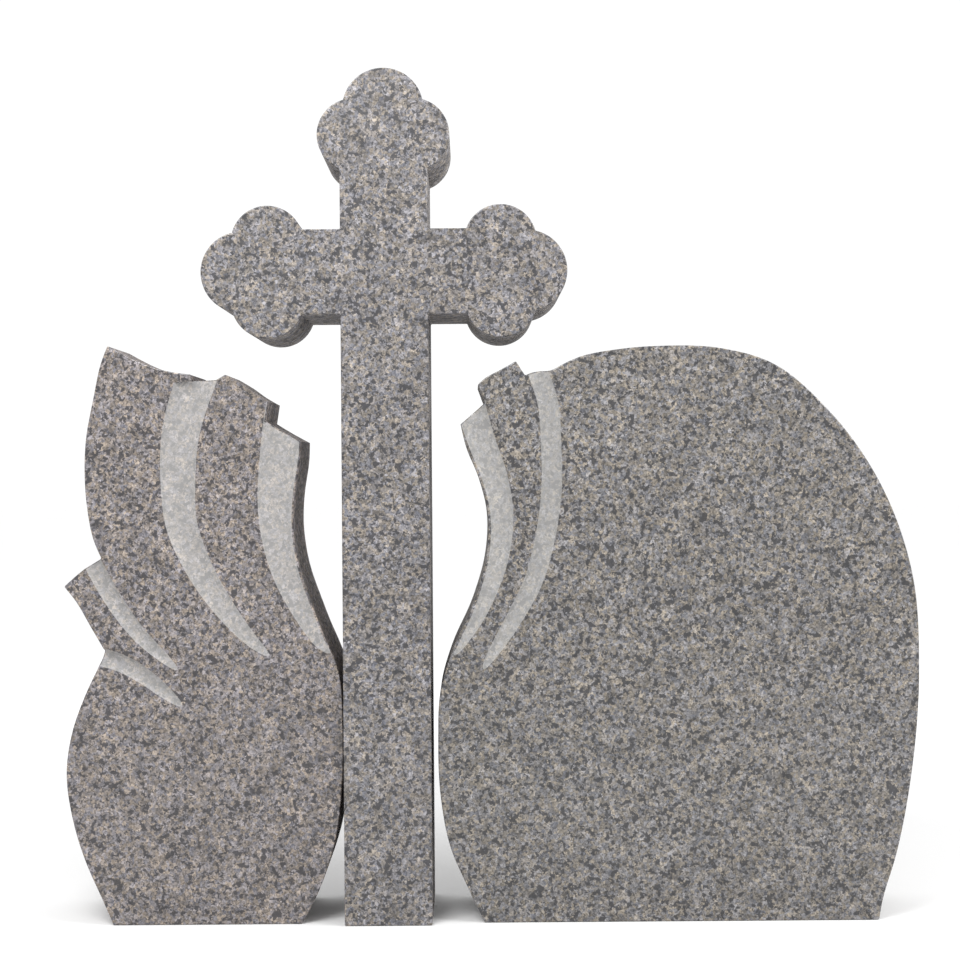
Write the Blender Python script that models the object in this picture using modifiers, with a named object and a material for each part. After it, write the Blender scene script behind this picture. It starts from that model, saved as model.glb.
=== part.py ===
"""Grave monument of three granite stones: a budded cross between two winged slabs.

Metres, +Z up, the carved front facing -Y. The origin is on the ground, at the middle
of the box round the three stones. A wing's outline and the centre lines of its flutes
are shares of its own width, counted out from the cross, and of its own height.
"""

import math

import bmesh
import bpy
from mathutils import Vector
from mathutils.geometry import interpolate_bezier

# Cross
CROSS_HEIGHT = 1.370
CROSS_THICKNESS = 0.200
SHAFT_WIDTH = 0.140
ARM_LEVEL = 1.045
ARM_SPAN = 0.586
ARM_HEIGHT = 0.136

# Budded end of the head and of each arm: one lobe at the tip, one at each side
TIP_LOBE_RADIUS = 0.065
SIDE_LOBE_RADIUS = 0.058
SIDE_LOBE_OFFSET = 0.048
LOBE_SPACING = 0.0415

# Wings
WING_THICKNESS = 0.170
LEFT_WING_WIDTH = 0.446
LEFT_WING_HEIGHT = 0.930
RIGHT_WING_WIDTH = 0.773
RIGHT_WING_HEIGHT = 0.924

# Open joints between the shaft and each wing at their nearest
LEFT_JOINT = 0.002
RIGHT_JOINT = 0.011

# Sharp edges taken off all round, wherever two faces turn by more than the angle
ARRIS = 0.0015
ARRIS_ANGLE = math.radians(70)

# Flutes, each cut with a ball-nosed tool: width and depth where the flute runs out
BROAD_FLUTE_WIDTH = 0.064
BROAD_FLUTE_DEPTH = 0.013
LEFT_EDGE_FLUTE_WIDTH = 0.065
LEFT_EDGE_FLUTE_LIP = 0.0025
RIGHT_EDGE_FLUTE_WIDTH = 0.047
RIGHT_EDGE_FLUTE_LIP = 0.004
EDGE_FLUTE_DEPTH = 0.012
SHORT_FLUTE_WIDTH = 0.029
SHORT_FLUTE_DEPTH = 0.008
SLIM_FLUTE_WIDTH = 0.033
SLIM_FLUTE_DEPTH = 0.009
FLUTE_RUN_OUT = 0.045
FLUTE_OVERRUN = 0.02
CORNER_DEPTH = 0.4

# How late the depth of a flute falls off along its length: 1 is evenly, more is later
BROAD_FLUTE_FADE = 1.2
LEFT_EDGE_FLUTE_FADE = 1.0
RIGHT_EDGE_FLUTE_FADE = 0.9
SHORT_FLUTE_FADE = 2.0
SLIM_FLUTE_FADE = 4.0

# Fineness of the curves
OUTLINE_CHORD = 0.020
FLUTE_CHORD = 0.022
ARC_STEP = math.radians(9)
FLUTE_BEVEL_RESOLUTION = 7
WELD_DISTANCE = 0.00001

# Left wing outline, one smooth run between each two corners, from the crown clockwise
LEFT_FIRST_RIBBON_END = [(0.838, 1.000), (0.716, 0.970), (0.644, 0.958), (0.544, 0.950)]
LEFT_BROAD_FLUTE_END = [(0.538, 0.939), (0.447, 0.940)]
LEFT_SECOND_RIBBON_END = [(0.415, 0.949), (0.357, 0.932), (0.314, 0.917), (0.261, 0.902)]
LEFT_EDGE_FLUTE_END = [(0.272, 0.868), (0.204, 0.848), (0.147, 0.833)]
LEFT_FLANK = [
    (0.147, 0.833),
    (0.149, 0.805),
    (0.169, 0.735),
    (0.173, 0.693),
    (0.158, 0.628),
    (0.087, 0.524),
    (0.012, 0.430),
    (0.000, 0.340),
    (0.006, 0.230),
    (0.034, 0.136),
    (0.090, 0.057),
    (0.152, 0.000),
]
LEFT_BELLY = [
    (0.831, 0.000),
    (0.870, 0.044),
    (0.932, 0.113),
    (0.976, 0.185),
    (0.996, 0.262),
    (0.972, 0.338),
    (0.933, 0.390),
    (0.881, 0.443),
]
LEFT_LOWER_FLUTE_END = [(0.881, 0.443), (0.856, 0.474)]
LEFT_THIRD_RIBBON_SIDE = [(0.856, 0.474), (0.910, 0.519), (0.955, 0.557), (1.000, 0.585)]
LEFT_UPPER_FLUTE_END = [(0.908, 0.621), (0.865, 0.633)]
LEFT_SHOULDER = [
    (0.865, 0.633),
    (0.893, 0.665),
    (0.913, 0.712),
    (0.9235, 0.775),
    (0.918, 0.838),
    (0.892, 0.905),
    (0.857, 0.977),
    (0.838, 1.000),
]

# Uncut corner of the first ribbon, which overhangs the open end of the broad flute
LEFT_RIBBON_CORNER = [(0.538, 0.939), (0.640, 0.931), (0.640, 1.010), (0.538, 1.010)]

# Left wing flutes, from the open end to the tip
LEFT_BROAD_FLUTE = [
    (0.521, 0.937),
    (0.574, 0.854),
    (0.587, 0.759),
    (0.575, 0.690),
    (0.531, 0.633),
    (0.427, 0.548),
    (0.320, 0.487),
    (0.264, 0.463),
]
LEFT_UPPER_FLUTE = [(0.887, 0.617), (0.824, 0.563), (0.735, 0.504), (0.636, 0.458), (0.593, 0.440)]
LEFT_LOWER_FLUTE = [(0.867, 0.463), (0.796, 0.452), (0.724, 0.433), (0.653, 0.407), (0.578, 0.377)]
LEFT_EDGE_FLUTE_TIP = 0.450

# Right wing outline, from the outer foot over the crown to the inner foot
RIGHT_BACK = [
    (0.913, 0.000),
    (0.920, 0.031),
    (0.950, 0.114),
    (0.982, 0.250),
    (1.000, 0.430),
    (0.986, 0.607),
    (0.906, 0.7835),
    (0.8170, 0.8850),
    (0.694, 0.971),
    (0.590, 0.9955),
    (0.470, 1.000),
    (0.374, 0.994),
    (0.300, 0.982),
    (0.244, 0.960),
]
RIGHT_SLIM_FLUTE_END = [(0.236, 0.958), (0.200, 0.955), (0.186, 0.950)]
RIGHT_RIBBON_END = [(0.167, 0.975), (0.130, 0.958), (0.103, 0.946), (0.088, 0.935)]
RIGHT_EDGE_FLUTE_END = [(0.102, 0.903), (0.051, 0.866)]
RIGHT_FLANK = [
    (0.051, 0.866),
    (0.062, 0.828),
    (0.087, 0.776),
    (0.106, 0.710),
    (0.103, 0.639),
    (0.074, 0.552),
    (0.028, 0.466),
    (0.006, 0.405),
    (0.000, 0.318),
    (0.005, 0.214),
    (0.0244, 0.130),
    (0.056, 0.067),
    (0.094, 0.000),
]

# Right wing flutes
RIGHT_SLIM_FLUTE = [
    (0.213, 0.955),
    (0.231, 0.908),
    (0.239, 0.821),
    (0.240, 0.768),
    (0.224, 0.664),
    (0.201, 0.595),
    (0.158, 0.526),
    (0.106, 0.456),
    (0.094, 0.440),
]
RIGHT_EDGE_FLUTE_TIP = 0.455

# Finishes of the stones: grey granite
CROSS_COLOUR = (0.31, 0.30, 0.295)
WING_COLOUR = (0.27, 0.26, 0.255)
POLISH_ROUGHNESS = 0.22

LEFT = -1
RIGHT = 1


def shaft_centre():
    """X of the cross, which puts the middle of the whole row of stones on the origin."""
    left_reach = LEFT_WING_WIDTH + LEFT_JOINT + SHAFT_WIDTH / 2
    right_reach = RIGHT_WING_WIDTH + RIGHT_JOINT + SHAFT_WIDTH / 2
    return (left_reach - right_reach) / 2


def clear_scene():
    for item in list(bpy.data.objects):
        bpy.data.objects.remove(item)


def new_collection(name, hidden=False):
    group = bpy.data.collections.new(name)
    group.hide_render = hidden
    bpy.context.scene.collection.children.link(group)
    return group


def granite(name, colour):
    material = bpy.data.materials.new(name)
    material.use_nodes = True
    shader = material.node_tree.nodes["Principled BSDF"]
    shader.inputs["Base Color"].default_value = (*colour, 1.0)
    shader.inputs["Roughness"].default_value = POLISH_ROUGHNESS
    shader.inputs["Metallic"].default_value = 0.0
    return material


def smooth_run(points, chord):
    """Points about a chord apart on a smooth curve through the given ones.

    Each knot's tangent is that of the parabola through it and its two neighbours.
    """
    knots = [Vector(point) for point in points]
    if len(knots) == 2:
        return knots
    lengths = [(b - a).length for a, b in zip(knots, knots[1:])]
    slopes = [(b - a) / size for a, b, size in zip(knots, knots[1:], lengths)]
    tangents = []
    for i in range(1, len(knots) - 1):
        before, after = lengths[i - 1], lengths[i]
        tangents.append((slopes[i - 1] * after + slopes[i] * before) / (before + after))
    tangents.insert(0, slopes[0] * 1.5 - tangents[0] * 0.5)
    tangents.append(slopes[-1] * 1.5 - tangents[-1] * 0.5)
    run = [knots[0]]
    for i, size in enumerate(lengths):
        start, end = knots[i], knots[i + 1]
        reach = size / 3
        count = max(2, math.ceil(size / chord)) + 1
        handles = (start + tangents[i] * reach, end - tangents[i + 1] * reach)
        run += interpolate_bezier(start, *handles, end, count)[1:]
    return run


def joined_runs(*runs):
    """One closed outline of several runs, without the corners that two runs share."""
    outline = []
    for run in runs:
        for point in run:
            if not outline or (point - outline[-1]).length > ARRIS:
                outline.append(point)
    if (outline[0] - outline[-1]).length <= ARRIS:
        outline.pop()
    return outline


def arc(centre, radius, start, stop):
    """Points on a circle from one angle to another, both ends included."""
    steps = max(2, math.ceil(abs(stop - start) / ARC_STEP))
    angles = [start + (stop - start) * i / steps for i in range(steps + 1)]
    return [centre + Vector((math.cos(a), math.sin(a))) * radius for a in angles]


def lobe_reach(limb_half_width):
    """How far back from its centre a side lobe meets the side of the limb."""
    lean = limb_half_width - SIDE_LOBE_OFFSET
    return math.sqrt(SIDE_LOBE_RADIUS**2 - lean**2)


def bud_length(limb_half_width):
    return TIP_LOBE_RADIUS + LOBE_SPACING + lobe_reach(limb_half_width)


def bud(limb_half_width, limb_length):
    """Half outline of a budded end: x runs along the limb with its tip at 0, y across it.

    It starts where a side lobe leaves the limb, or on a short limb where the lobe leaves
    the limb that crosses it, and ends at the tip.
    """
    tip_centre = Vector((-TIP_LOBE_RADIUS, 0))
    side_centre = Vector((-TIP_LOBE_RADIUS - LOBE_SPACING, SIDE_LOBE_OFFSET))
    between = side_centre - tip_centre
    along = (TIP_LOBE_RADIUS**2 - SIDE_LOBE_RADIUS**2 + between.length_squared) / (
        2 * between.length
    )
    across = math.sqrt(TIP_LOBE_RADIUS**2 - along**2)
    heading = between.normalized()
    notch = tip_centre + heading * along + Vector((heading.y, -heading.x)) * across
    reach = min(lobe_reach(limb_half_width), limb_length + side_centre.x)
    limb_joint = Vector((-reach, math.sqrt(SIDE_LOBE_RADIUS**2 - reach**2)))
    to_notch = notch - side_centre
    from_tip = notch - tip_centre
    side = arc(
        side_centre,
        SIDE_LOBE_RADIUS,
        math.atan2(limb_joint.y, limb_joint.x),
        math.atan2(to_notch.y, to_notch.x),
    )
    tip = arc(tip_centre, TIP_LOBE_RADIUS, math.atan2(from_tip.y, from_tip.x), 0)
    return side + tip[1:]


def limb_end(limb_half_width, limb_length, tip, heading):
    """The whole budded end, its tip at a point and its limb pointing along a heading."""
    half = bud(limb_half_width, limb_length)
    other = [Vector((point.x, -point.y)) for point in reversed(half[:-1])]
    tip = Vector(tip)
    heading = Vector(heading)
    aside = Vector((-heading.y, heading.x))
    return [tip + heading * point.x + aside * point.y for point in half + other]


def cross_outline():
    """The cross seen from the front, clockwise from its left foot."""
    x = shaft_centre()
    left = x - SHAFT_WIDTH / 2
    right = x + SHAFT_WIDTH / 2
    under = ARM_LEVEL - ARM_HEIGHT / 2
    over = ARM_LEVEL + ARM_HEIGHT / 2
    arm_length = (ARM_SPAN - SHAFT_WIDTH) / 2
    head_length = CROSS_HEIGHT - over
    left_end = limb_end(ARM_HEIGHT / 2, arm_length, (x - ARM_SPAN / 2, ARM_LEVEL), (-1, 0))
    head = limb_end(SHAFT_WIDTH / 2, head_length, (x, CROSS_HEIGHT), (0, 1))
    right_end = limb_end(ARM_HEIGHT / 2, arm_length, (x + ARM_SPAN / 2, ARM_LEVEL), (1, 0))
    arms_show = arm_length > bud_length(ARM_HEIGHT / 2)
    head_shows = head_length > bud_length(SHAFT_WIDTH / 2)
    outline = [Vector((left, 0))]
    outline += [Vector((left, under))] if arms_show else []
    outline += left_end
    outline += [Vector((left, over))] if arms_show and head_shows else []
    outline += head
    outline += [Vector((right, over))] if arms_show and head_shows else []
    outline += right_end
    outline += [Vector((right, under))] if arms_show else []
    outline += [Vector((right, 0))]
    return outline


def wing_placer(side, width, height):
    """A function from shares of a wing to its place beside the shaft."""
    joint = LEFT_JOINT if side == LEFT else RIGHT_JOINT
    flank = shaft_centre() + side * (SHAFT_WIDTH / 2 + joint)
    return lambda shares: [Vector((flank + side * width * u, height * v)) for u, v in shares]


def slab_of(name, outline, thickness, group):
    """A slab of the outline in the XZ plane, centred on Y, as a mesh."""
    curve = bpy.data.curves.new(name, "CURVE")
    curve.dimensions = "2D"
    curve.fill_mode = "BOTH"
    curve.extrude = thickness / 2
    spline = curve.splines.new("POLY")
    spline.points.add(len(outline) - 1)
    for point, place in zip(spline.points, outline):
        point.co = (place.x, place.y, 0, 1)
    spline.use_cyclic_u = True
    upright = bpy.data.objects.new(name, curve)
    upright.rotation_euler = (math.radians(90), 0, 0)
    slab = mesh_from_curve(upright, group)
    merge_broad_faces(slab.data)
    return slab


def take_off_arris(stone):
    arris = stone.modifiers.new("Arris", "BEVEL")
    arris.width = ARRIS
    arris.segments = 1
    arris.limit_method = "ANGLE"
    arris.angle_limit = ARRIS_ANGLE


def merge_broad_faces(mesh):
    """Make the front and the back one face each, so that the arris runs on round them."""
    shape = bmesh.new()
    shape.from_mesh(mesh)
    inner = [e for e in shape.edges if all(abs(f.normal.y) > 0.5 for f in e.link_faces)]
    bmesh.ops.dissolve_edges(shape, edges=inner, use_verts=False)
    shape.to_mesh(mesh)
    shape.free()


def mesh_from_curve(curve_object, group):
    """Replace a curve object by a welded mesh object of the same name and place."""
    name = curve_object.name
    bpy.context.scene.collection.objects.link(curve_object)
    bpy.context.view_layer.update()
    evaluated = curve_object.evaluated_get(bpy.context.evaluated_depsgraph_get())
    mesh = bpy.data.meshes.new_from_object(evaluated)
    place = curve_object.matrix_world.copy()
    bpy.data.objects.remove(curve_object)
    shape = bmesh.new()
    shape.from_mesh(mesh)
    bmesh.ops.remove_doubles(shape, verts=shape.verts, dist=WELD_DISTANCE)
    bmesh.ops.transform(shape, matrix=place, verts=shape.verts)
    bmesh.ops.recalc_face_normals(shape, faces=shape.faces)
    shape.to_mesh(mesh)
    shape.free()
    mesh.name = name
    solid = bpy.data.objects.new(name, mesh)
    group.objects.link(solid)
    return solid


def ball_radius(width, depth):
    """Radius of the ball that leaves a channel of this width at this depth."""
    return (width**2 / 4 + depth**2) / (2 * depth)


def channel_width(radius, depth):
    return 2 * math.sqrt(max(0, radius**2 - (radius - depth) ** 2))


def flute_cutter(name, route, width, depth, fade, group):
    """A tube along the route that rises out of the front face as the flute fades out.

    The route is the centre line on the face, from the open end to the tip. The tube goes
    on past both, straight out of the stone at the one and clear of the face at the other.
    """
    radius = ball_radius(width, depth)
    line = smooth_run(route, FLUTE_CHORD)
    lengths = [0.0]
    for a, b in zip(line, line[1:]):
        lengths.append(lengths[-1] + (b - a).length)
    depths = [depth * (1 - (size / lengths[-1]) ** fade) for size in lengths]
    start = line[0] + (line[0] - line[1]).normalized() * FLUTE_RUN_OUT
    end = line[-1] + (line[-1] - line[-2]).normalized() * FLUTE_OVERRUN
    fall = (depths[-1] - depths[-2]) / (lengths[-1] - lengths[-2])
    line = [start, *line, end]
    depths = [depth, *depths, depths[-1] + fall * FLUTE_OVERRUN]
    curve = bpy.data.curves.new(name, "CURVE")
    curve.dimensions = "3D"
    curve.bevel_depth = radius
    curve.bevel_resolution = FLUTE_BEVEL_RESOLUTION
    curve.use_fill_caps = True
    spline = curve.splines.new("POLY")
    spline.points.add(len(line) - 1)
    for point, place, cut in zip(spline.points, line, depths):
        point.co = (place.x, -WING_THICKNESS / 2 - radius + cut, place.y, 1)
    cutter = mesh_from_curve(bpy.data.objects.new(name, curve), group)
    hide(cutter)
    return cutter


def hide(cutter):
    cutter.display_type = "WIRE"
    cutter.hide_render = True


def edge_flute_route(flank, end, tip_level, width, lip, fade, side):
    """Centre line of a flute that keeps a thin lip beside the flank.

    It starts at the middle of the flute's end and fades out at the tip's level.
    """
    radius = ball_radius(width, EDGE_FLUTE_DEPTH)
    beside = [point for point in flank if point.y >= tip_level]
    lengths = [0.0]
    for a, b in zip(beside, beside[1:]):
        lengths.append(lengths[-1] + (b - a).length)
    route = [(end[0] + end[-1]) / 2]
    for i in range(1, len(beside)):
        if lengths[i] < width / 2:
            continue
        heading = (beside[i] - beside[i - 1]).normalized()
        inward = Vector((-heading.y, heading.x))
        if inward.x * side < 0:
            inward = -inward
        cut = EDGE_FLUTE_DEPTH * (1 - (lengths[i] / lengths[-1]) ** fade)
        reach = lip + channel_width(radius, cut) / 2
        route.append(beside[i] + inward * reach)
    return route


def carve(solid, cutters):
    for cutter in cutters:
        cut = solid.modifiers.new(cutter.name, "BOOLEAN")
        cut.operation = "DIFFERENCE"
        cut.solver = "EXACT"
        cut.object = cutter


def build_cross(group):
    cross = slab_of("cross", cross_outline(), CROSS_THICKNESS, group)
    take_off_arris(cross)
    cross.data.materials.append(granite("cross_granite", CROSS_COLOUR))
    return cross


def build_left_wing(group, cutters):
    place = wing_placer(LEFT, LEFT_WING_WIDTH, LEFT_WING_HEIGHT)
    flank = smooth_run(place(LEFT_FLANK), OUTLINE_CHORD)
    runs = [LEFT_FIRST_RIBBON_END, LEFT_BROAD_FLUTE_END, LEFT_SECOND_RIBBON_END]
    runs += [LEFT_EDGE_FLUTE_END, LEFT_FLANK, LEFT_BELLY, LEFT_LOWER_FLUTE_END]
    runs += [LEFT_THIRD_RIBBON_SIDE, LEFT_UPPER_FLUTE_END, LEFT_SHOULDER]
    outline = joined_runs(*[smooth_run(place(run), OUTLINE_CHORD) for run in runs])
    wing = slab_of("left_wing", outline, WING_THICKNESS, group)
    take_off_arris(wing)
    wing.data.materials.append(granite("left_wing_granite", WING_COLOUR))
    edge_route = edge_flute_route(
        flank,
        place(LEFT_EDGE_FLUTE_END),
        LEFT_EDGE_FLUTE_TIP * LEFT_WING_HEIGHT,
        LEFT_EDGE_FLUTE_WIDTH,
        LEFT_EDGE_FLUTE_LIP,
        LEFT_EDGE_FLUTE_FADE,
        LEFT,
    )
    broad = (BROAD_FLUTE_WIDTH, BROAD_FLUTE_DEPTH, BROAD_FLUTE_FADE)
    edge = (LEFT_EDGE_FLUTE_WIDTH, EDGE_FLUTE_DEPTH, LEFT_EDGE_FLUTE_FADE)
    short = (SHORT_FLUTE_WIDTH, SHORT_FLUTE_DEPTH, SHORT_FLUTE_FADE)
    ribbon_corner = slab_of("left_ribbon_corner", place(LEFT_RIBBON_CORNER), CORNER_DEPTH, cutters)
    hide(ribbon_corner)
    broad_cutter = flute_cutter("left_broad_flute", place(LEFT_BROAD_FLUTE), *broad, cutters)
    carve(broad_cutter, [ribbon_corner])
    flutes = [
        ("left_edge_flute", edge_route, *edge),
        ("left_upper_flute", place(LEFT_UPPER_FLUTE), *short),
        ("left_lower_flute", place(LEFT_LOWER_FLUTE), *short),
    ]
    carve(wing, [broad_cutter, *[flute_cutter(*flute, cutters) for flute in flutes]])
    return wing


def build_right_wing(group, cutters):
    place = wing_placer(RIGHT, RIGHT_WING_WIDTH, RIGHT_WING_HEIGHT)
    flank = smooth_run(place(RIGHT_FLANK), OUTLINE_CHORD)
    runs = [RIGHT_BACK, RIGHT_SLIM_FLUTE_END, RIGHT_RIBBON_END, RIGHT_EDGE_FLUTE_END, RIGHT_FLANK]
    outline = joined_runs(*[smooth_run(place(run), OUTLINE_CHORD) for run in runs])
    wing = slab_of("right_wing", outline, WING_THICKNESS, group)
    take_off_arris(wing)
    wing.data.materials.append(granite("right_wing_granite", WING_COLOUR))
    edge_route = edge_flute_route(
        flank,
        place(RIGHT_EDGE_FLUTE_END),
        RIGHT_EDGE_FLUTE_TIP * RIGHT_WING_HEIGHT,
        RIGHT_EDGE_FLUTE_WIDTH,
        RIGHT_EDGE_FLUTE_LIP,
        RIGHT_EDGE_FLUTE_FADE,
        RIGHT,
    )
    edge = (RIGHT_EDGE_FLUTE_WIDTH, EDGE_FLUTE_DEPTH, RIGHT_EDGE_FLUTE_FADE)
    slim = (SLIM_FLUTE_WIDTH, SLIM_FLUTE_DEPTH, SLIM_FLUTE_FADE)
    flutes = [
        ("right_edge_flute", edge_route, *edge),
        ("right_slim_flute", place(RIGHT_SLIM_FLUTE), *slim),
    ]
    carve(wing, [flute_cutter(*flute, cutters) for flute in flutes])
    return wing


def main():
    clear_scene()
    monument = new_collection("grave_monument")
    cutters = new_collection("cutters", hidden=True)
    build_cross(monument)
    build_left_wing(monument, cutters)
    build_right_wing(monument, cutters)
    bpy.context.view_layer.update()


main()
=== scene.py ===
"""Looks of the grave monument: three stones of grey granite, polished, with frosted flutes.

Metres, +Z up, the carved front facing -Y. Each stone is one mesh on the outline of its
solid, with finer curves, a worn arris and the flutes cut by the same ball-nosed tool.
"""

import math

import bpy
import numpy as np
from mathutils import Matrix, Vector, noise
from mathutils.geometry import delaunay_2d_cdt, interpolate_bezier


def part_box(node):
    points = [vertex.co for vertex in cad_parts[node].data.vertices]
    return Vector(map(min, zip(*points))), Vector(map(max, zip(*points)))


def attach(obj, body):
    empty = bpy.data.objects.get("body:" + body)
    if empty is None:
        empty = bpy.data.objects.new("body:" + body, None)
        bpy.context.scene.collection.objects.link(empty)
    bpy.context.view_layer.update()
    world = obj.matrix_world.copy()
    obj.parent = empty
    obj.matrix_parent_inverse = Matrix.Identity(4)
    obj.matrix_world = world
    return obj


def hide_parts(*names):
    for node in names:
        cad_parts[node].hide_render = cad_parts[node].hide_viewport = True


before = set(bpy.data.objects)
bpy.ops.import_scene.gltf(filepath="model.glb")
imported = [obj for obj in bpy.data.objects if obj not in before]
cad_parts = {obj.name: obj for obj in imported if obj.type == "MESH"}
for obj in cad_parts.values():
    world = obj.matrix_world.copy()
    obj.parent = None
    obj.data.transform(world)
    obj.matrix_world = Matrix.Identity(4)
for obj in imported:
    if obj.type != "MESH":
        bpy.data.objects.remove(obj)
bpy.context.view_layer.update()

# The stones' outlines are read from the solids
WELD = 0.00001
CORNER = math.radians(24)
OUTLINE_CHORD = 0.003

MITRE_LIMIT = 0.5

# Arris: worn round, a little wider here and there, and chipped where a finer noise is high
ARRIS = 0.0015
ARRIS_ROWS = 3
ARRIS_WEAR = 0.0006
WEAR_SPAN = 0.035
WAVER = 0.5
CHIP_FINENESS = 3.1
CHIP_LEVEL = 0.45
CHIP_GROWTH = 2.5

# Flutes: width, depth and fade, as they are cut in the solids
BROAD_FLUTE = (0.064, 0.013, 1.2)
LEFT_EDGE_FLUTE = (0.065, 0.012, 1.0)
LEFT_EDGE_LIP = 0.0025
RIGHT_EDGE_FLUTE = (0.047, 0.012, 0.9)
RIGHT_EDGE_LIP = 0.004
SHORT_FLUTE = (0.029, 0.008, 2.0)
SLIM_FLUTE = (0.033, 0.009, 4.0)
FLUTE_CHORD = 0.003
FLUTE_RUN_OUT = 0.045
FLUTE_LANES = 20
CORNER_STEP = 0.0012
TOOL_WAVE = 0.00025
TOOL_WAVE_SPAN = 0.018
WAVE_ONSET = 8

# Wings: where each meets the joint beside the shaft, and its size
LEFT_WING = {"joint": -0.240, "side": -1, "width": 0.446, "height": 0.930}
RIGHT_WING = {"joint": -0.087, "side": 1, "width": 0.773, "height": 0.924}

# Centre lines of the flutes as shares of the wing, from the open end to the tip
LEFT_BROAD_ROUTE = [
    (0.521, 0.937),
    (0.574, 0.854),
    (0.587, 0.759),
    (0.575, 0.690),
    (0.531, 0.633),
    (0.427, 0.548),
    (0.320, 0.487),
    (0.264, 0.463),
]
LEFT_RIBBON_CORNER = [(0.538, 0.939), (0.640, 0.931), (0.640, 1.010), (0.538, 1.010)]
LEFT_UPPER_ROUTE = [(0.887, 0.617), (0.824, 0.563), (0.735, 0.504), (0.636, 0.458), (0.593, 0.440)]
LEFT_LOWER_ROUTE = [(0.867, 0.463), (0.796, 0.452), (0.724, 0.433), (0.653, 0.407), (0.578, 0.377)]
LEFT_EDGE_END = [(0.272, 0.868), (0.147, 0.833)]
LEFT_EDGE_TIP = 0.450
RIGHT_SLIM_ROUTE = [
    (0.213, 0.955),
    (0.231, 0.908),
    (0.239, 0.821),
    (0.240, 0.768),
    (0.224, 0.664),
    (0.201, 0.595),
    (0.158, 0.526),
    (0.106, 0.456),
    (0.094, 0.440),
]
RIGHT_EDGE_END = [(0.102, 0.903), (0.051, 0.866)]
RIGHT_EDGE_TIP = 0.455

# Camera: level, in front of the cross's right side
CAMERA_PLACE = (-0.0329, -2.757, 0.7266)
CAMERA_ROLL = math.radians(0.42)
FOCAL_LENGTH = 62.43
SENSOR_WIDTH = 36.0
PICTURE_WIDTH = 960
AXIS_PIXEL = 470

# Stage: a pale floor with painted shade, a little darker near the stones, which also cuts the light it
# throws up onto their undersides, white surroundings and two lights
FLOOR_SIZE = 60.0
FLOOR_GAP = 0.0004
FLOOR_MOTTLE = 2.0
FLOOR_TONES = [(0.0, 0.94), (1.0, 0.97)]
FLOOR_ROUGHNESS = 0.9
# Painted shade on the floor round the stones: how far it reaches, and how dark it gets close to them
NEAR_FLOOR_SHADE_SCALE = (0.35, 0.35, 0.35)
NEAR_FLOOR_PAINTED_SHADE = [(0.0, 1.0), (0.6, 0.78)]
SURROUNDINGS = 1.05
LIGHT_SIZE = 1.2
LIGHT_AIM = (-0.1, 0.0, 1.0)
KEY_PLACE = (-0.85, -1.45, 2.35)
KEY_POWER = 50.0
FILL_PLACE = (2.1, -0.9, 2.1)
FILL_POWER = 46.0

# Finishes, in the order of each stone's materials
POLISHED, FROSTED, SIDE, SAWN = range(4)

# Grain: crystals and other noises by their number in a metre or so
CRYSTALS = 185.0
SMALL_CRYSTALS = 440.0
FLECKS = 290.0
FLECK_CLUSTERS = 112.0
DRIFT = 34.0
STIR_SCALE = 240.0
STIR = (0.0030, 0.0030, 0.0030)
GRAIN_TURN = (0.4, 0.9, 0.3)

# Minerals: the greys of feldspar, from cool to warm, its mottling, and the dark mica
MEAN_GREY = (0.200, 0.195, 0.190, 1.0)
FELDSPAR = [
    (0.0, (0.128, 0.130, 0.138)),
    (0.35, (0.180, 0.178, 0.176)),
    (0.75, (0.240, 0.231, 0.222)),
    (1.0, (0.305, 0.295, 0.282)),
]
COOL_TO_WARM = [(0.2, (0.95, 0.99, 1.10)), (0.8, (1.07, 1.0, 0.88))]
MOTTLE = [(0.0, 0.50), (0.5, 1.0), (1.0, 1.46)]
DRIFT_TONES = [(0.3, 0.74), (0.7, 1.26)]
MICA = (0.040, 0.041, 0.046, 1.0)
CLUSTERING = 4.5
MICA_THRESHOLD = 3.08
MICA_SHARPNESS = 5.0
MICA_COVER = 0.92

# Polished faces; each relief is the depth and the strength of a bump
POLISH_ROUGHNESS = 0.14
SMEAR_ROUGHNESS = 0.10
SMEAR_SCALE = 30.0
MICA_ROUGHNESS = 0.12
POLISH_RELIEF = (0.00002, 0.3)

# Honed sides
HONED_TONE = (1.36, 1.36, 1.36, 1.0)
HONED_ROUGHNESS = 0.75
HONED_SHINE = 0.15
HONED_GRAIN = 900.0
HONED_RELIEF = (0.00008, 0.5)

# Frosted flutes
FROST = (0.430, 0.426, 0.418, 1.0)
FROST_COVER = 0.45
FROST_ROUGHNESS = 0.85
FROST_SHINE = 0.3
FROST_GRAIN = 1100.0
FROST_RELIEF = (0.0004, 0.6)

# Sawn undersides
DUST = (0.33, 0.325, 0.32, 1.0)
DUST_COVER = 0.35
SAWN_CONTRAST = 0.7
SAWN_ROUGHNESS = 0.8
SAW_MARKS = 60.0
SAW_WANDER = 3.0
SAW_RELIEF = (0.0002, 0.5)

# What sets each stone apart: the shift of its grain, its tint and the seed of its wear
CROSS_STONE = ((3.1, 0.7, 5.3), (0.755, 0.727, 0.727), 11.0)
LEFT_WING_STONE = ((0.0, 2.2, 1.7), (0.790, 0.728, 0.715), 23.0)
RIGHT_WING_STONE = ((7.4, 4.1, 0.6), (0.700, 0.677, 0.658), 37.0)


# ---- outlines ----


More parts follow.
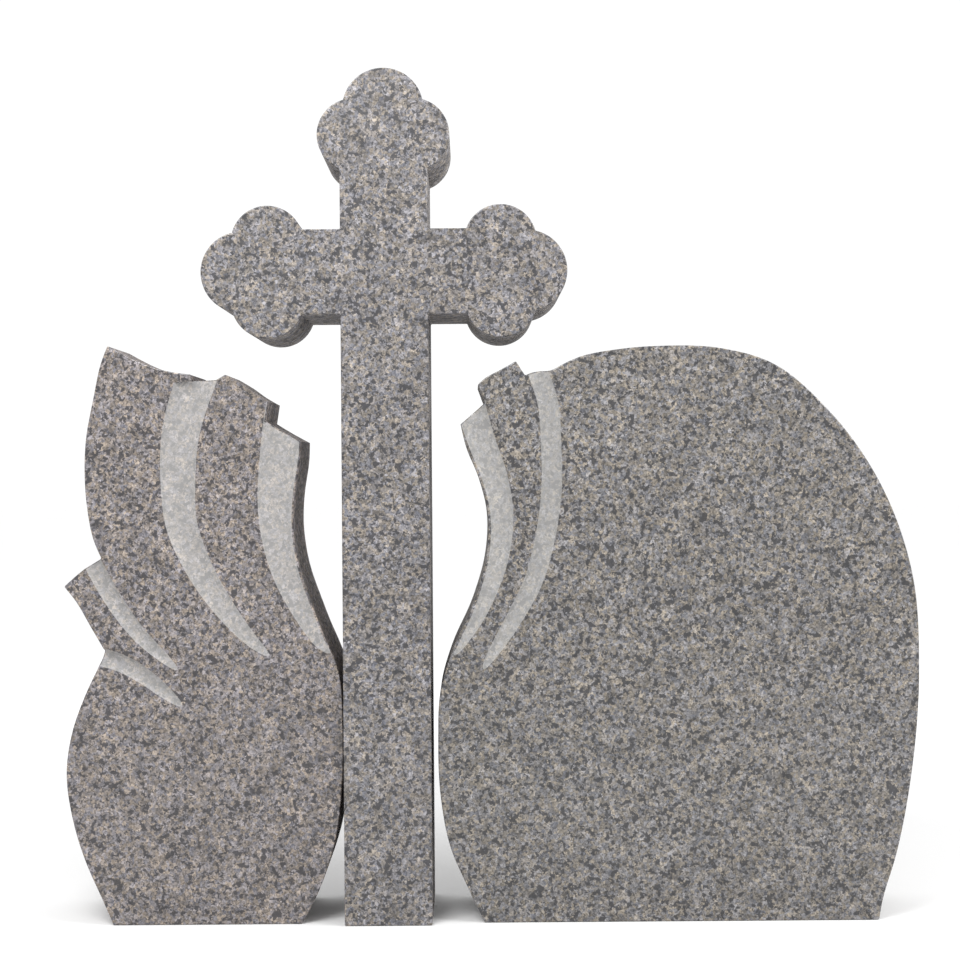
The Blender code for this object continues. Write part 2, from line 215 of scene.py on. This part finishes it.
def ring_of(node):
    """The solid's full outline, which is the ring just inside its back arris.

    Points are (x, z), counter-clockwise as seen from the front.
    """
    corners = {}
    places = [node.matrix_world @ v.co for v in node.data.vertices]
    back = max(place.y for place in places)
    level = max(place.y for place in places if place.y < back - ARRIS / 2)
    keys = []
    for place in places:
        key = tuple(round(c / WELD) for c in place)
        near = next((k for k in neighbour_keys(key) if k in corners), key)
        corners.setdefault(near, place)
        keys.append(near)
    links = {}
    for edge in node.data.edges:
        a, b = (keys[i] for i in edge.vertices)
        if a != b and all(abs(corners[k].y - level) < ARRIS / 4 for k in (a, b)):
            links.setdefault(a, set()).add(b)
            links.setdefault(b, set()).add(a)
    start = min(links)
    ring = [start]
    here, before = start, None
    while True:
        after = min(k for k in links[here] if k != before)
        if after == start:
            break
        ring.append(after)
        here, before = after, here
    points = [Vector((corners[k].x, corners[k].z)) for k in ring]
    return points if signed_area(points) > 0 else points[::-1]


def neighbour_keys(key):
    steps = (0, -1, 1)
    return [(key[0] + i, key[1] + j, key[2] + k) for i in steps for j in steps for k in steps]


def signed_area(points):
    return sum(a.cross(b) for a, b in zip(points, points[1:] + points[:1])) / 2


def turns_at(points):
    """The angle the outline turns by at each point."""
    turns = []
    for before, here, after in zip(points[-1:] + points[:-1], points, points[1:] + points[:1]):
        turns.append(abs((here - before).angle_signed(after - here)))
    return turns


def smooth_run(points, chord):
    """Points about a chord apart on a smooth curve through the given ones.

    Each knot's tangent is that of the parabola through it and its two neighbours.
    """
    knots = [Vector(point) for point in points]
    lengths = [(b - a).length for a, b in zip(knots, knots[1:])]
    slopes = [(b - a) / size for a, b, size in zip(knots, knots[1:], lengths)]
    tangents = []
    for i in range(1, len(knots) - 1):
        before, after = lengths[i - 1], lengths[i]
        tangents.append((slopes[i - 1] * after + slopes[i] * before) / (before + after))
    if tangents:
        tangents.insert(0, slopes[0] * 1.5 - tangents[0] * 0.5)
        tangents.append(slopes[-1] * 1.5 - tangents[-1] * 0.5)
    else:
        tangents = [slopes[0], slopes[0]]
    run = [knots[0]]
    for i, size in enumerate(lengths):
        start, end = knots[i], knots[i + 1]
        reach = size / 3
        count = max(1, math.ceil(size / chord)) + 1
        handles = (start + tangents[i] * reach, end - tangents[i + 1] * reach)
        run += interpolate_bezier(start, *handles, end, count)[1:]
    return run


def fine_outline(node):
    """The solid's outline at a fine chord, and which of its points are corners."""
    ring = ring_of(node)
    low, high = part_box(node.name)
    turns = turns_at(ring)
    first = turns.index(max(turns))
    ring = ring[first:] + ring[:first]
    turns = turns[first:] + turns[:first]
    breaks = [i for i, turn in enumerate(turns) if turn > CORNER] + [len(ring)]
    closed = ring + ring[:1]
    points, corners = [], set()
    for start, stop in zip(breaks, breaks[1:]):
        corners.add(len(points))
        points += smooth_run(closed[start : stop + 1], OUTLINE_CHORD)[:-1]
    for point in points:
        point.x = min(max(point.x, low.x), high.x)
        point.y = min(max(point.y, low.z), high.z)
    return points, corners


def moved_in(outline, amounts):
    """The outline moved inward by an amount at each point, mitred at its corners."""
    moved = []
    count = len(outline)
    for i, here in enumerate(outline):
        ahead = (outline[(i + 1) % count] - here).normalized()
        behind = (here - outline[i - 1]).normalized()
        normal = Vector((-ahead.y - behind.y, ahead.x + behind.x)).normalized()
        lean = max(MITRE_LIMIT, normal.dot(Vector((-ahead.y, ahead.x))))
        moved.append(here + normal * amounts[i] / lean)
    return moved


# ---- flutes ----


class Flute:
    """A channel of a ball-nosed tool that rises out of the face along its centre line."""

    def __init__(self, route, width, depth, fade, uncut=()):
        self.radius = ball_radius(width, depth)
        line = smooth_run(route, FLUTE_CHORD)
        sizes = [(b - a).length for a, b in zip(line, line[1:])]
        total = sum(sizes)
        reached = 0.0
        cuts = [depth]
        for size in sizes:
            reached += size
            cuts.append(depth * max(0.0, 1 - (reached / total) ** fade))
        back = (line[0] - line[1]).normalized()
        steps = math.ceil(FLUTE_RUN_OUT / FLUTE_CHORD)
        lead = [line[0] + back * FLUTE_RUN_OUT * i / steps for i in range(steps, 0, -1)]
        self.line = lead + line
        self.cuts = [depth] * steps + cuts
        self.uncut = list(uncut)
        self.starts = np.array(self.line[:-1])
        self.ways = np.array(self.line[1:]) - self.starts
        self.cut_starts = np.array(self.cuts[:-1])
        self.cut_ways = np.array(self.cuts[1:]) - self.cut_starts

    def half_width(self, cut):
        return math.sqrt(max(0.0, self.radius**2 - (self.radius - cut) ** 2))

    def depth_at(self, point):
        """How deep the tool cuts at a point of the face."""
        if self.uncut and within(point, moved_in(self.uncut, [-CORNER_STEP / 2] * len(self.uncut))):
            return 0.0
        offsets = np.array(point) - self.starts
        squares = (self.ways**2).sum(1)
        shares = np.clip((offsets * self.ways).sum(1) / squares, 0, 1)
        gaps = ((offsets - self.ways * shares[:, None]) ** 2).sum(1)
        nearest = int(gaps.argmin())
        cut = self.cut_starts[nearest] + self.cut_ways[nearest] * shares[nearest]
        level = self.radius - cut
        return max(0.0, math.sqrt(max(0.0, self.radius**2 - gaps[nearest])) - level)

    def lanes(self):
        """Rows of points across the channel, from the open end to the tip."""
        rows = []
        for i in range(len(self.line) - 1):
            ahead = self.line[i + 1] - self.line[max(0, i - 1)]
            aside = Vector((-ahead.y, ahead.x)).normalized()
            half = self.half_width(self.cuts[i])
            shares = [math.sin(math.pi / 2 * (2 * j / FLUTE_LANES - 1)) for j in range(FLUTE_LANES + 1)]
            rows.append([self.line[i] + aside * half * share for share in shares])
        return rows


def within(point, polygon):
    """Whether a point is inside a convex polygon, whichever way that runs."""
    sides = []
    for a, b in zip(polygon, polygon[1:] + polygon[:1]):
        sides.append((b - a).cross(point - a) > 0)
    return all(sides) or not any(sides)


def ball_radius(width, depth):
    """Radius of the ball that leaves a channel of this width at this depth."""
    return (width**2 / 4 + depth**2) / (2 * depth)


def placed(wing, shares):
    """The places of shares of a wing's width and height."""
    step = wing["side"] * wing["width"]
    return [Vector((wing["joint"] + step * u, wing["height"] * v)) for u, v in shares]


def edge_route(wing, node, end, tip, kind, lip):
    """Centre line of a flute that keeps a thin lip beside the wing's flank."""
    width, depth, fade = kind
    radius = ball_radius(width, depth)
    start, corner = placed(wing, end)
    ring = ring_of(node)
    at = min(range(len(ring)), key=lambda i: (ring[i] - corner).length)
    step = 1 if ring[(at + 1) % len(ring)].y < ring[at - 1].y else -1
    beside = [ring[at]]
    while ring[(at + step) % len(ring)].y >= tip * wing["height"]:
        at = (at + step) % len(ring)
        beside.append(ring[at])
    lengths = [0.0]
    for a, b in zip(beside, beside[1:]):
        lengths.append(lengths[-1] + (b - a).length)
    route = [(start + corner) / 2]
    for i in range(1, len(beside)):
        if lengths[i] < width / 2:
            continue
        heading = (beside[i] - beside[i - 1]).normalized()
        inward = Vector((-heading.y, heading.x))
        if inward.x * wing["side"] < 0:
            inward = -inward
        cut = depth * (1 - (lengths[i] / lengths[-1]) ** fade)
        half = math.sqrt(max(0.0, radius**2 - (radius - cut) ** 2))
        route.append(beside[i] + inward * (lip + half))
    return route


# ---- meshes ----


def triangles_inside(ring, flutes=()):
    """Triangles that fill a ring and follow the flutes' lanes: their points and faces.

    The ring's own points come first, in order.
    """
    points = list(ring)
    count = len(ring)
    edges = [(i, (i + 1) % count) for i in range(count)]
    for flute in flutes:
        base = len(points)
        rows = flute.lanes()
        for row in rows:
            points += row
        width = FLUTE_LANES + 1
        for i in range(len(rows) - 1):
            for j in range(width):
                here = base + i * width + j
                edges.append((here, here + width))
        tip = len(points)
        points.append(flute.line[-1])
        last = base + (len(rows) - 1) * width
        edges += [(last + j, tip) for j in range(width)]
        for amount in (0.0, CORNER_STEP):
            base = len(points)
            corner = moved_in(flute.uncut, [-amount] * len(flute.uncut))
            points += corner
            edges += [(base + i, base + (i + 1) % len(corner)) for i in range(len(corner))]
    made = delaunay_2d_cdt(points, edges, [list(range(count))], 0, WELD / 10)
    spots, _, faces, from_points, _, from_faces = made
    faces = [face for face, source in zip(faces, from_faces) if source]
    ring_spot = {}
    for spot, sources in enumerate(from_points):
        for source in sources:
            if source < count:
                ring_spot[spot] = source
    return [Vector(spot) for spot in spots], faces, ring_spot


def round_edge(faces, start):
    """The open edge of a set of triangles as one loop of spots."""
    halves = set()
    for face in faces:
        for a, b in zip(face, face[1:] + face[:1]):
            halves.add((a, b))
    follows = {a: b for a, b in halves if (b, a) not in halves}
    loop = [start]
    while follows[loop[-1]] != start:
        loop.append(follows[loop[-1]])
    return loop


def wear_at(point, seed):
    """Width of the worn arris at a point of the outline."""
    here = Vector((point.x, seed, point.y)) / WEAR_SPAN
    broad = noise.noise(here)
    chips = max(0.0, noise.noise(here * CHIP_FINENESS) - CHIP_LEVEL) * CHIP_GROWTH
    return ARRIS + ARRIS_WEAR * (WAVER * broad + chips)


def cut_at(flutes, point):
    """How deep the flutes are at a point of the face, or 0 beside them."""
    return max((flute.depth_at(point) for flute in flutes), default=0.0)


def carved(spot, flutes, level, seed):
    """The place of a point of the front, sunk into the flutes with their faint tool waves."""
    cut = cut_at(flutes, spot)
    wave = 0.0
    if cut > 0:
        here = Vector((spot.x, seed, spot.y)) / TOOL_WAVE_SPAN
        wave = TOOL_WAVE * noise.noise(here) * min(1.0, cut / TOOL_WAVE / WAVE_ONSET)
    return Vector((spot.x, level + cut + wave, spot.y))


def front_face(spots, faces, flutes, level, seed):
    """The front: its places, their numbers by spot, its faces and their finishes."""
    places, numbers = [], {}
    for spot in sorted({spot for face in faces for spot in face}):
        numbers[spot] = len(places)
        places.append(carved(spots[spot], flutes, level, seed))
    shown, kinds = [], []
    for face in faces:
        middle = sum((spots[spot] for spot in face), Vector((0, 0))) / 3
        shown.append([numbers[spot] for spot in face])
        kinds.append(FROSTED if cut_at(flutes, middle) > 0 else POLISHED)
    return places, numbers, shown, kinds


def faces_between(rows, outer, ground):
    """The faces from the front's rim to the back's, and their finishes."""
    shown, kinds = [], []
    count = len(outer)
    for level, (upper, lower) in enumerate(zip(rows, rows[1:])):
        for i in range(count):
            j = (i + 1) % count
            shown.append([upper[i], lower[i], lower[j], upper[j]])
            grounded = max(outer[i].y, outer[j].y) < ground + WELD
            if level == ARRIS_ROWS:
                kinds.append(SAWN if grounded else SIDE)
            else:
                kinds.append(POLISHED)
    return shown, kinds


def stone(name, node, flutes, materials, seed):
    """One stone as a mesh: front, arris, sides, arris and back, closed all round."""
    low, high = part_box(node.name)
    outline, corners = fine_outline(node)
    wear = [wear_at(point, seed) for point in outline]
    inner = moved_in(outline, wear)
    spots, faces, ring_spot = triangles_inside(inner, flutes)
    places, numbers, shown, kinds = front_face(spots, faces, flutes, low.y, seed)
    start = next(spot for spot, source in ring_spot.items() if source == 0)
    loop = round_edge(faces, start)
    outer, widths, is_corner = along_outline(loop, ring_spot, spots, outline, inner, wear, corners)

    rows = [[numbers[spot] for spot in loop]]
    front_rim = [places[k] for k in rows[0]]
    back_rim = [Vector((rim.x, high.y, rim.z)) for rim in front_rim]
    rows += arris_rows(places, front_rim, outer, widths, range(1, ARRIS_ROWS + 1), 1)
    rows += arris_rows(places, back_rim, outer, widths, range(ARRIS_ROWS, -1, -1), -1)
    side_faces, side_kinds = faces_between(rows, outer, low.z)
    shown += side_faces
    kinds += side_kinds
    back = [Vector((places[k].x, places[k].z)) for k in rows[-1]]
    _, back_faces, back_spot = triangles_inside(back)
    for face in back_faces:
        shown.append([rows[-1][back_spot[spot]] for spot in reversed(face)])
        kinds.append(POLISHED)

    mesh = bpy.data.meshes.new(name)
    mesh.from_pydata([tuple(place) for place in places], [], shown)
    for material in materials:
        mesh.materials.append(material)
    mesh.polygons.foreach_set("material_index", kinds)
    mesh.polygons.foreach_set("use_smooth", [True] * len(kinds))
    mark_sharp(mesh, kinds, rows, is_corner)
    piece = bpy.data.objects.new(name, mesh)
    bpy.context.scene.collection.objects.link(piece)
    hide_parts(node.name)
    return piece


def along_outline(loop, ring_spot, spots, outline, inner, wear, corners):
    """For each spot of the front's edge: its place on the outline, wear and whether a corner."""
    outer, widths, is_corner = [], [], []
    count = len(outline)
    here = 0
    for spot in loop:
        if spot in ring_spot:
            here = ring_spot[spot]
            share = 0.0
        else:
            a, b = inner[here], inner[(here + 1) % count]
            share = (spots[spot] - a).length / max(WELD, (b - a).length)
        after = (here + 1) % count
        outer.append(outline[here].lerp(outline[after], share))
        widths.append(wear[here] + (wear[after] - wear[here]) * share)
        is_corner.append(share == 0.0 and here in corners)
    return outer, widths, is_corner


def arris_rows(places, rim, outer, widths, steps, inward):
    """Rows of the rounded arris: step 0 is the face's rim and the last one is the side."""
    rows = []
    for step in steps:
        angle = math.pi / 2 * step / ARRIS_ROWS
        out, drop = math.sin(angle), 1 - math.cos(angle)
        row = []
        for here, outside, width in zip(rim, outer, widths):
            x = here.x + (outside.x - here.x) * out
            z = here.z + (outside.y - here.z) * out
            row.append(len(places))
            places.append(Vector((x, here.y + inward * width * drop, z)))
        rows.append(row)
    return rows


def mark_sharp(mesh, kinds, rows, is_corner):
    """Sharp edges round the arris, at the outline's corners and where the finish changes."""
    count = len(rows[0])
    sharp = set()
    for row in (rows[0], rows[ARRIS_ROWS], rows[ARRIS_ROWS + 1], rows[-1]):
        for i in range(count):
            sharp.add(tuple(sorted((row[i], row[(i + 1) % count]))))
    for i in range(count):
        if is_corner[i]:
            for upper, lower in zip(rows, rows[1:]):
                sharp.add(tuple(sorted((upper[i], lower[i]))))
    finish = {}
    for polygon, kind in zip(mesh.polygons, kinds):
        for key in polygon.edge_keys:
            finish.setdefault(key, set()).add(kind)
    flags = []
    for edge in mesh.edges:
        key = tuple(sorted(edge.vertices))
        flags.append(key in sharp or len(finish[key]) > 1)
    attribute = mesh.attributes.new("sharp_edge", "BOOLEAN", "EDGE")
    attribute.data.foreach_set("value", flags)


# ---- finishes ----


class Graph:
    """A material's node tree, with short calls for the nodes that granite needs."""

    def __init__(self, name):
        self.material = bpy.data.materials.new(name)
        self.material.use_nodes = True
        self.tree = self.material.node_tree
        self.shader = self.tree.nodes["Principled BSDF"]

    def node(self, kind, **settings):
        made = self.tree.nodes.new(kind)
        for key, value in settings.items():
            setattr(made, key, value)
        return made

    def feed(self, socket, value):
        if isinstance(value, bpy.types.NodeSocket):
            self.tree.links.new(value, socket)
        else:
            socket.default_value = value

    def look(self, **values):
        """Feeds the shader's sockets, named with _ for each space."""
        for key, value in values.items():
            self.feed(self.shader.inputs[key.replace("_", " ")], value)

    def math(self, operation, a, b=0.0, clamp=False):
        made = self.node("ShaderNodeMath", operation=operation, use_clamp=clamp)
        self.feed(made.inputs[0], a)
        self.feed(made.inputs[1], b)
        return made.outputs[0]

    def vector_math(self, operation, a, b):
        made = self.node("ShaderNodeVectorMath", operation=operation)
        self.feed(made.inputs[0], a)
        self.feed(made.inputs[1], b)
        return made.outputs[0]

    def noise(self, place, scale, detail=2.0, roughness=0.5):
        made = self.node("ShaderNodeTexNoise", noise_dimensions="3D")
        self.feed(made.inputs["Vector"], place)
        made.inputs["Scale"].default_value = scale
        made.inputs["Detail"].default_value = detail
        made.inputs["Roughness"].default_value = roughness
        return made

    def cells(self, place, scale):
        """Three random values for each cell of a crystal pattern."""
        made = self.node("ShaderNodeTexVoronoi", voronoi_dimensions="3D", feature="F1")
        self.feed(made.inputs["Vector"], place)
        made.inputs["Scale"].default_value = scale
        split = self.node("ShaderNodeSeparateColor")
        self.feed(split.inputs[0], made.outputs["Color"])
        return split

    def ramp(self, factor, stops, smooth=False):
        """A colour ramp of (position, grey or colour) stops."""
        made = self.node("ShaderNodeValToRGB")
        made.color_ramp.interpolation = "EASE" if smooth else "LINEAR"
        elements = made.color_ramp.elements
        while len(elements) < len(stops):
            elements.new(0.5)
        for element, (position, colour) in zip(elements, stops):
            element.position = position
            rgb = colour if isinstance(colour, tuple) else (colour, colour, colour)
            element.color = (*rgb, 1.0)
        self.feed(made.inputs[0], factor)
        return made.outputs[0]

    def mix(self, factor, a, b, blend="MIX"):
        made = self.node("ShaderNodeMix", data_type="RGBA", blend_type=blend)
        self.feed(made.inputs["Factor"], factor)
        self.feed(made.inputs["A"], a)
        self.feed(made.inputs["B"], b)
        return made.outputs["Result"]

    def bump(self, height, distance, strength):
        made = self.node("ShaderNodeBump")
        self.feed(made.inputs["Height"], height)
        made.inputs["Distance"].default_value = distance
        made.inputs["Strength"].default_value = strength
        self.feed(self.shader.inputs["Normal"], made.outputs[0])


def grain_place(graph, shift):
    """The stone's own coordinates, shifted for each stone: as they are, and stirred."""
    coordinates = graph.node("ShaderNodeTexCoord")
    mapping = graph.node("ShaderNodeMapping")
    graph.feed(mapping.inputs["Vector"], coordinates.outputs["Object"])
    mapping.inputs["Location"].default_value = shift
    mapping.inputs["Rotation"].default_value = GRAIN_TURN
    place = mapping.outputs[0]
    stir = graph.noise(place, STIR_SCALE, detail=1.0)
    centred = graph.vector_math("SUBTRACT", stir.outputs["Color"], (0.5, 0.5, 0.5))
    moved = graph.vector_math("MULTIPLY", centred, STIR)
    return place, graph.vector_math("ADD", place, moved)


def mica_share(graph, plain, stirred, contrast):
    """Where the dark flecks are: they gather in clusters."""
    flecks = graph.cells(stirred, FLECKS)
    clusters = graph.noise(plain, FLECK_CLUSTERS, detail=1.0)
    gathered = graph.math("MULTIPLY", clusters.outputs["Fac"], CLUSTERING)
    dark = graph.math("SUBTRACT", graph.math("ADD", flecks.outputs[2], gathered), MICA_THRESHOLD)
    dark = graph.math("MULTIPLY", dark, MICA_SHARPNESS, clamp=True)
    return graph.math("MULTIPLY", dark, MICA_COVER * contrast)


def granite_colour(graph, shift, tint, contrast=1.0):
    """Feldspar, quartz and mica: crystals of several sizes and greys."""
    plain, stirred = grain_place(graph, shift)
    crystals = graph.cells(stirred, CRYSTALS)
    small = graph.cells(stirred, SMALL_CRYSTALS)
    feldspar = graph.ramp(crystals.outputs[0], FELDSPAR)
    warmth = graph.ramp(crystals.outputs[1], COOL_TO_WARM)
    mottle = graph.ramp(small.outputs[1], MOTTLE)
    colour = graph.mix(contrast, MEAN_GREY, feldspar)
    colour = graph.mix(contrast, colour, warmth, "MULTIPLY")
    colour = graph.mix(contrast, colour, mottle, "MULTIPLY")
    dark = mica_share(graph, plain, stirred, contrast)
    colour = graph.mix(dark, colour, MICA)
    drift = graph.noise(plain, DRIFT, detail=3.0, roughness=0.6)
    tone = graph.ramp(drift.outputs["Fac"], DRIFT_TONES)
    colour = graph.mix(contrast, colour, tone, "MULTIPLY")
    colour = graph.mix(1.0, colour, (*tint, 1.0), "MULTIPLY")
    return colour, plain, stirred, dark


def polished(name, shift, tint):
    """A mirror finish, a little duller on the mica and where it is smeared."""
    graph = Graph(name)
    colour, plain, stirred, dark = granite_colour(graph, shift, tint)
    smear = graph.noise(plain, SMEAR_SCALE, detail=3.0)
    rough = graph.math("MULTIPLY", smear.outputs["Fac"], SMEAR_ROUGHNESS)
    rough = graph.math("ADD", rough, POLISH_ROUGHNESS)
    rough = graph.math("ADD", rough, graph.math("MULTIPLY", dark, MICA_ROUGHNESS))
    graph.look(Base_Color=colour, Roughness=rough)
    graph.bump(graph.cells(stirred, FLECKS).outputs[0], *POLISH_RELIEF)
    return graph.material


def honed(name, shift, tint):
    """Smooth but unpolished stone, a little paler."""
    graph = Graph(name)
    colour, plain, _, _ = granite_colour(graph, shift, tint)
    colour = graph.mix(1.0, colour, HONED_TONE, "MULTIPLY")
    graph.look(Base_Color=colour, Roughness=HONED_ROUGHNESS, Specular_IOR_Level=HONED_SHINE)
    graph.bump(graph.noise(plain, HONED_GRAIN).outputs["Fac"], *HONED_RELIEF)
    return graph.material


def frosted(name, shift, tint):
    """Blasted stone: the crystals' faces are bruised to a pale even grey."""
    graph = Graph(name)
    colour, plain, _, _ = granite_colour(graph, shift, tint)
    colour = graph.mix(FROST_COVER, colour, FROST)
    graph.look(Base_Color=colour, Roughness=FROST_ROUGHNESS, Specular_IOR_Level=FROST_SHINE)
    pits = graph.noise(plain, FROST_GRAIN, detail=3.0, roughness=0.6)
    graph.bump(pits.outputs["Fac"], *FROST_RELIEF)
    return graph.material


def sawn(name, shift, tint):
    """The underside, left from the saw: dusty, with faint parallel marks."""
    graph = Graph(name)
    colour, plain, _, _ = granite_colour(graph, shift, tint, SAWN_CONTRAST)
    graph.look(Base_Color=graph.mix(DUST_COVER, colour, DUST), Roughness=SAWN_ROUGHNESS)
    marks = graph.node("ShaderNodeTexWave", wave_type="BANDS", bands_direction="X")
    graph.feed(marks.inputs["Vector"], plain)
    marks.inputs["Scale"].default_value = SAW_MARKS
    marks.inputs["Distortion"].default_value = SAW_WANDER
    graph.bump(marks.outputs["Fac"], *SAW_RELIEF)
    return graph.material


def finishes(name, shift, tint):
    """The four finishes of one stone, in the order of the face kinds."""
    return [
        polished(name + "_polished", shift, tint),
        frosted(name + "_frosted", shift, tint),
        honed(name + "_honed", shift, tint),
        sawn(name + "_sawn", shift, tint),
    ]


# ---- stones ----


def build_cross():
    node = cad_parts["cross"]
    shift, tint, seed = CROSS_STONE
    piece = stone("cross_stone", node, [], finishes("cross", shift, tint), seed)
    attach(piece, "root")


def build_left_wing():
    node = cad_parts["left_wing"]
    shift, tint, seed = LEFT_WING_STONE
    wing = LEFT_WING
    edge = edge_route(wing, node, LEFT_EDGE_END, LEFT_EDGE_TIP, LEFT_EDGE_FLUTE, LEFT_EDGE_LIP)
    flutes = [
        Flute(placed(wing, LEFT_BROAD_ROUTE), *BROAD_FLUTE, placed(wing, LEFT_RIBBON_CORNER)),
        Flute(edge, *LEFT_EDGE_FLUTE),
        Flute(placed(wing, LEFT_UPPER_ROUTE), *SHORT_FLUTE),
        Flute(placed(wing, LEFT_LOWER_ROUTE), *SHORT_FLUTE),
    ]
    piece = stone("left_wing_stone", node, flutes, finishes("left_wing", shift, tint), seed)
    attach(piece, "root")


def build_right_wing():
    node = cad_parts["right_wing"]
    shift, tint, seed = RIGHT_WING_STONE
    wing = RIGHT_WING
    edge = edge_route(wing, node, RIGHT_EDGE_END, RIGHT_EDGE_TIP, RIGHT_EDGE_FLUTE, RIGHT_EDGE_LIP)
    flutes = [
        Flute(edge, *RIGHT_EDGE_FLUTE),
        Flute(placed(wing, RIGHT_SLIM_ROUTE), *SLIM_FLUTE),
    ]
    piece = stone("right_wing_stone", node, flutes, finishes("right_wing", shift, tint), seed)
    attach(piece, "root")


# ---- stage ----


def build_floor():
    half = FLOOR_SIZE / 2
    mesh = bpy.data.meshes.new("floor")
    corners = [(-half, -half), (half, -half), (half, half), (-half, half)]
    mesh.from_pydata([(x, y, -FLOOR_GAP) for x, y in corners], [], [(0, 1, 2, 3)])
    floor = bpy.data.objects.new("floor", mesh)
    bpy.context.scene.collection.objects.link(floor)
    graph = Graph("pale_floor_painted_shade")
    place = graph.node("ShaderNodeTexCoord").outputs["Object"]
    shade = graph.noise(place, FLOOR_MOTTLE, detail=3.0)
    tone = graph.ramp(shade.outputs["Fac"], FLOOR_TONES)
    # Painted shade: the floor's colour is darkened towards the stones, a pool of shade round their base
    # that also dims the light the floor throws onto their undersides
    shade_nearness = graph.node("ShaderNodeTexGradient", gradient_type="SPHERICAL")
    scaled = graph.vector_math("MULTIPLY", place, NEAR_FLOOR_SHADE_SCALE)
    graph.feed(shade_nearness.inputs["Vector"], scaled)
    painted_shade = graph.ramp(shade_nearness.outputs["Fac"], NEAR_FLOOR_PAINTED_SHADE, smooth=True)
    graph.look(Base_Color=graph.mix(1.0, tone, painted_shade, "MULTIPLY"), Roughness=FLOOR_ROUGHNESS)
    mesh.materials.append(graph.material)


def soft_light(name, place, power):
    data = bpy.data.lights.new(name, "AREA")
    data.shape = "RECTANGLE"
    data.size = data.size_y = LIGHT_SIZE
    data.energy = power
    light = bpy.data.objects.new(name, data)
    light.location = place
    light.rotation_euler = (Vector(LIGHT_AIM) - Vector(place)).to_track_quat("-Z", "Y").to_euler()
    bpy.context.scene.collection.objects.link(light)


def build_light():
    world = bpy.data.worlds.new("studio")
    world.use_nodes = True
    background = world.node_tree.nodes["Background"]
    background.inputs["Color"].default_value = (1.0, 1.0, 1.0, 1.0)
    background.inputs["Strength"].default_value = SURROUNDINGS
    bpy.context.scene.world = world
    soft_light("key", KEY_PLACE, KEY_POWER)
    soft_light("fill", FILL_PLACE, FILL_POWER)


def build_camera():
    data = bpy.data.cameras.new("camera")
    data.lens = FOCAL_LENGTH
    data.sensor_width = SENSOR_WIDTH
    off_axis = (PICTURE_WIDTH / 2 - AXIS_PIXEL) / PICTURE_WIDTH
    data.shift_x = off_axis
    data.shift_y = -off_axis
    camera = bpy.data.objects.new("camera", data)
    camera.location = CAMERA_PLACE
    camera.rotation_euler = (math.pi / 2, CAMERA_ROLL, 0.0)
    bpy.context.scene.collection.objects.link(camera)
    bpy.context.scene.camera = camera


def main():
    bpy.context.scene.view_settings.view_transform = "Standard"
    build_cross()
    build_left_wing()
    build_right_wing()
    build_floor()
    build_light()
    build_camera()


main()
